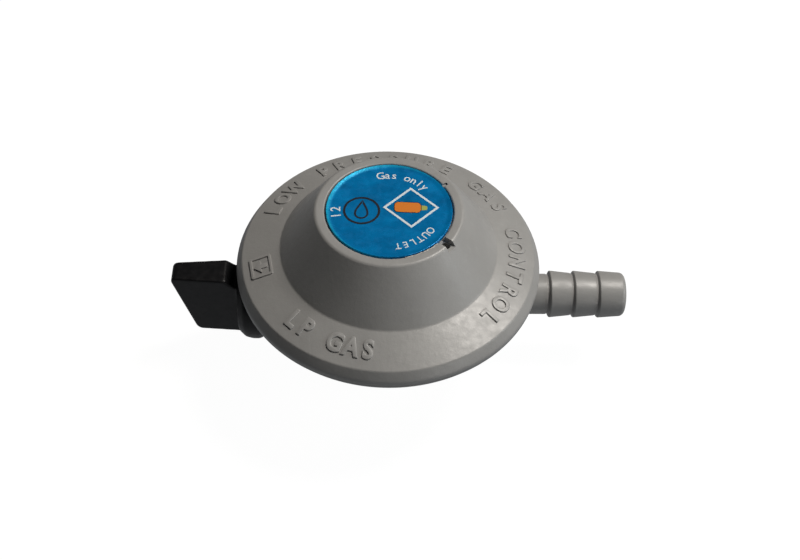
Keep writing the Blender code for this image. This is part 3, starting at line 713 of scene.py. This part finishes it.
def make_knob():
    """Moulded wing knob; hub and blade melt into each other with a soft fillet."""
    top, bottom = 8.9, -8.9
    end = low("tap_knob").x
    hub = lathe("hub", rounded([(0, -28.7, 0), (9.5, -28.7, 0.3), (9.9, -29.6, 0.8), (9.9, -31.0, 1.5),
                                (9.5, -32.7, 1.5), (8.1, -34.2, 0.8), (0, -34.2, 0)]),
                at=(0, 0, TAP_Z), turn=ALONG_X)
    outline = rounded([(-31.5, 7.0, 0), (-34.8, 7.0, 1.0), (-36.9, top, 0.8), (end - 0.2, top, 1.3),
                       (-44.7, bottom, 1.8), (-31.5, bottom, 0)], closed=True)
    stand = Matrix(((1, 0, 0, 0), (0, 0, -1, 0), (0, 1, 0, TAP_Z * MM), (0, 0, 0, 1)))
    blade = slab(outline, 5.1, stand, 0.4)
    for vert in blade.data.vertices:
        vert.co.y *= 1 + 0.028 * (vert.co.x / MM - end)
    knob = carve(hub, joins=[blade],
                 cuts=[rod((-28, 0, TAP_Z), (-33, 0, TAP_Z), 3.3),
                       rod((-30.6, 0, TAP_Z - 12), (-30.6, 0, TAP_Z + 5), 1.2, COARSE)])
    knob = fuse(knob, 0.22, 5, "wing_knob", knob_black)
    return place(knob, "tap", "knob_plastic", "tap_knob")


# ---- coupling ---------------------------------------------------------------------------

def make_collar():
    """Release sleeve with finger grooves round its outside."""
    top, bottom = high("release_collar").z, low("release_collar").z
    outer = high("release_collar").x
    shelf = bottom + 4.1

    def bore(height):
        return 14.15 + 0.25 * (BALL_Z - height)

    corners = [(15.2, top, 0.15), (outer, top, 0.45)]
    for groove in (top - 1.5, top - 3.1, top - 4.7):
        corners += [(outer, groove + 0.35, 0.15), (outer - 0.35, groove, 0.25), (outer, groove - 0.35, 0.15)]
    corners += [(outer, bottom, 0.45), (bore(bottom), bottom, 0.2), (bore(shelf), shelf, 0.1),
                (15.2, shelf, 0.1)]
    collar = lathe("collar_sleeve", rounded(corners, closed=True), collar_paint, closed=True)
    return place(collar, "collar", "collar_paint", "release_collar")


def coil(node, radius, thick, turns):
    """Compression spring with closed ends."""
    name = node + "_fine"
    bottom, top = low(node).z, high(node).z
    steps = turns * 36
    curve = bpy.data.curves.new(name, "CURVE")
    curve.dimensions = "3D"
    curve.bevel_depth = thick / 2 * MM
    curve.bevel_resolution = 4
    curve.use_fill_caps = True
    spline = curve.splines.new("POLY")
    spline.points.add(steps)
    first, last = bottom + thick / 2, top - thick / 2
    for k, point in enumerate(spline.points):
        share = k / steps
        eased = share + 0.35 / turns * math.sin(2 * math.pi * share) * -0.5
        point.co = (*(polar(radius, 360 * turns * share, first + (last - first) * eased) * MM), 1)
    curve.materials.append(wire)
    obj = bpy.data.objects.new(name, curve)
    bpy.context.scene.collection.objects.link(obj)
    mesh = evaluated(obj)
    bpy.data.objects.remove(obj)
    obj = new_object(name, mesh)
    place(obj, "housing", "spring_steel", node)
    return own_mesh(obj)


def make_coupling():
    ring_low, ring_high = low("collar_stop_ring").z, high("collar_stop_ring").z
    section = [(12.9, ring_high, 0.1), (15.5, ring_high, 0.1), (15.5, ring_low, 0.1), (12.9, ring_low, 0.1)]
    ring = lathe("stop_ring_fine", rounded(section, closed=True), plated, closed=True)
    carve(ring, cuts=[block((12, -1.5, ring_low - 1), (17, 1.5, ring_high + 1))])
    place(ring, "housing", "plated_steel", "collar_stop_ring")
    nipple = [(3.8, 6.2, 0.2), (5.1, 6.2, 0.3), (5.1, 3.4, 0), (7.4, 3.4, 0.25), (7.4, 2.2, 0.25),
              (4.2, 2.2, 0.3), (4.2, 0.0, 0.6), (2.0, 0, 0.35), (2.0, 3.2, 0.1), (3.8, 3.2, 0.3)]
    place(lathe("inlet_nipple_fine", rounded(nipple, closed=True), brass, MEDIUM * 2, closed=True),
          "housing", "turned_brass", "inlet_nipple")
    top = high("inlet_gasket").z
    gasket = [(5.7, top, 0.15), (10.7, top, 0.3), (10.7, top - 1.2, 0.3), (5.7, top - 1.2, 0.15)]
    place(lathe("inlet_gasket_fine", rounded(gasket, closed=True), rubber, MEDIUM * 2, closed=True),
          "housing", "black_rubber", "inlet_gasket")
    head = high("push_pin").z
    pin = [(0, head, 0), (3.0, head, 0.35), (3.0, head - 1.2, 0.15), (1.5, head - 1.2, 0.2), (1.5, 0, 0.25),
           (0, 0, 0)]
    place(lathe("push_pin_fine", rounded(pin), brass, MEDIUM), "push_pin", "turned_brass", "push_pin")
    for k, degrees in enumerate(SIXTHS):
        bm = bmesh.new()
        bmesh.ops.create_uvsphere(bm, u_segments=32, v_segments=20, radius=1.6 * MM,
                                  matrix=Matrix.Translation(polar(12.2, degrees, BALL_Z) * MM))
        mesh = bpy.data.meshes.new("ball")
        bm.to_mesh(mesh)
        bm.free()
        mesh.shade_smooth()
        place(new_object(f"lock_ball_{k + 1}_fine", mesh, plated), f"lock_ball_{k + 1}", "plated_steel",
              f"lock_ball_{k + 1}")
    section = [(0, 21.3, 0), (2.1, 21.3, 0.3), (2.1, 18.8, 0.1), (0, 18.8, 0)]
    plug = lathe("gallery_plug_fine", rounded(section), brass, MEDIUM,
                 turn=Matrix.Rotation(-math.pi / 2, 4, "X"), at=(0, 0, GALLERY_Z))
    carve(plug, cuts=[rod((0, 20.2, GALLERY_Z), (0, 23, GALLERY_Z), 1.0, 6)])
    place(plug, "housing", "turned_brass", "gallery_plug")
    coil("collar_spring", 14.4, 0.6, 3)
    coil("push_pin_spring", 2.65, 0.5, 3)
    coil("main_spring", 8.5, 1.4, 5)


def dress_inner_nodes():
    """Metals and rubber of the CAD pieces that stay, most of them inside."""
    finishes = {
        brass: ("spring_adjuster", "diaphragm_stem", "inlet_nozzle", "valve_lever", "tap_spindle",
                "spindle_gland"),
        plated: ("diaphragm_plate", "diaphragm_washer", "lever_pin", "knob_pin"),
        rubber: ("diaphragm", "seat_pad", "spindle_oring")}
    for finish, nodes in finishes.items():
        for node in nodes:
            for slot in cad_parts[node].material_slots:
                slot.material = finish


# ---- stage ------------------------------------------------------------------------------

def aim(obj, target):
    obj.rotation_euler = (target - obj.location).to_track_quat("-Z", "Y").to_euler()


def area_light(name, azimuth, elevation, distance, size, power, colour=(1, 1, 1)):
    """Round light aimed at the part; azimuth in degrees from +X towards +Y, distance and size in metres."""
    light = bpy.data.lights.new(name, "AREA")
    light.shape = "DISK"
    light.size = size
    light.energy = power
    light.color = colour
    obj = bpy.data.objects.new(name, light)
    bpy.context.scene.collection.objects.link(obj)
    turn, rise = math.radians(azimuth), math.radians(elevation)
    target = Vector((0, 0, 20 * MM))
    flat = math.cos(rise)
    obj.location = target + distance * Vector((math.cos(turn) * flat, math.sin(turn) * flat, math.sin(rise)))
    aim(obj, target)


def make_stage():
    paper = floor_paper("floor_paper")
    bpy.ops.mesh.primitive_plane_add(size=4.0, location=(0, 0, (BARREL_END - 0.05) * MM))
    floor = bpy.context.object
    floor.name = "floor"
    bpy.ops.mesh.primitive_uv_sphere_add(segments=64, ring_count=32, radius=2.5)
    backdrop = bpy.context.object
    backdrop.name = "backdrop"
    backdrop.visible_shadow = False
    for obj in (floor, backdrop):
        obj.data.materials.append(paper)
        obj.visible_diffuse = False
        obj.visible_glossy = False
    world = bpy.data.worlds.new("studio")
    bpy.context.scene.world = world
    world.use_nodes = True
    nodes, links = world.node_tree.nodes, world.node_tree.links
    place = nodes.new("ShaderNodeTexCoord")
    split = nodes.new("ShaderNodeSeparateXYZ")
    grade = nodes.new("ShaderNodeMapRange")
    for socket, value in (("From Min", -0.25), ("From Max", 0.10), ("To Min", 0.30), ("To Max", 0.03)):
        grade.inputs[socket].default_value = value
    links.new(place.outputs["Generated"], split.inputs[0])
    links.new(split.outputs["Z"], grade.inputs["Value"])
    links.new(grade.outputs[0], nodes["Background"].inputs["Strength"])
    nodes["Background"].inputs["Color"].default_value = (0.95, 0.97, 1, 1)
    area_light("key", 27, 60, 0.75, 0.30, 4.6, (1.0, 0.95, 0.89))
    area_light("side", -8, 22, 0.75, 0.35, 1.35, (0.92, 0.97, 1.0))
    area_light("front", -50, 6, 0.75, 0.35, 0.5)
    bpy.context.scene.view_settings.view_transform = "Standard"


def make_camera():
    elevation, azimuth, roll = math.radians(50), math.radians(1.76), math.radians(1.7)
    distance = 275 * MM
    target = Vector((2.76, 0, 16.6)) * MM
    data = bpy.data.cameras.new("camera")
    data.lens = 54
    data.sensor_width = 36
    data.clip_start = 0.01
    data.clip_end = 20
    camera = bpy.data.objects.new("camera", data)
    bpy.context.scene.collection.objects.link(camera)
    flat = math.cos(elevation)
    camera.location = target + distance * Vector((-math.sin(azimuth) * flat, -math.cos(azimuth) * flat,
                                                  math.sin(elevation)))
    aim(camera, target)
    camera.rotation_euler = (camera.rotation_euler.to_matrix() @ Matrix.Rotation(roll, 3, "Z")).to_euler()
    bpy.context.scene.camera = camera


make_camera()
make_cover()
make_lettering()
make_label()
make_print()
make_body()
make_screws()
make_nozzle()
make_knob()
make_collar()
make_coupling()
dress_inner_nodes()
make_stage()
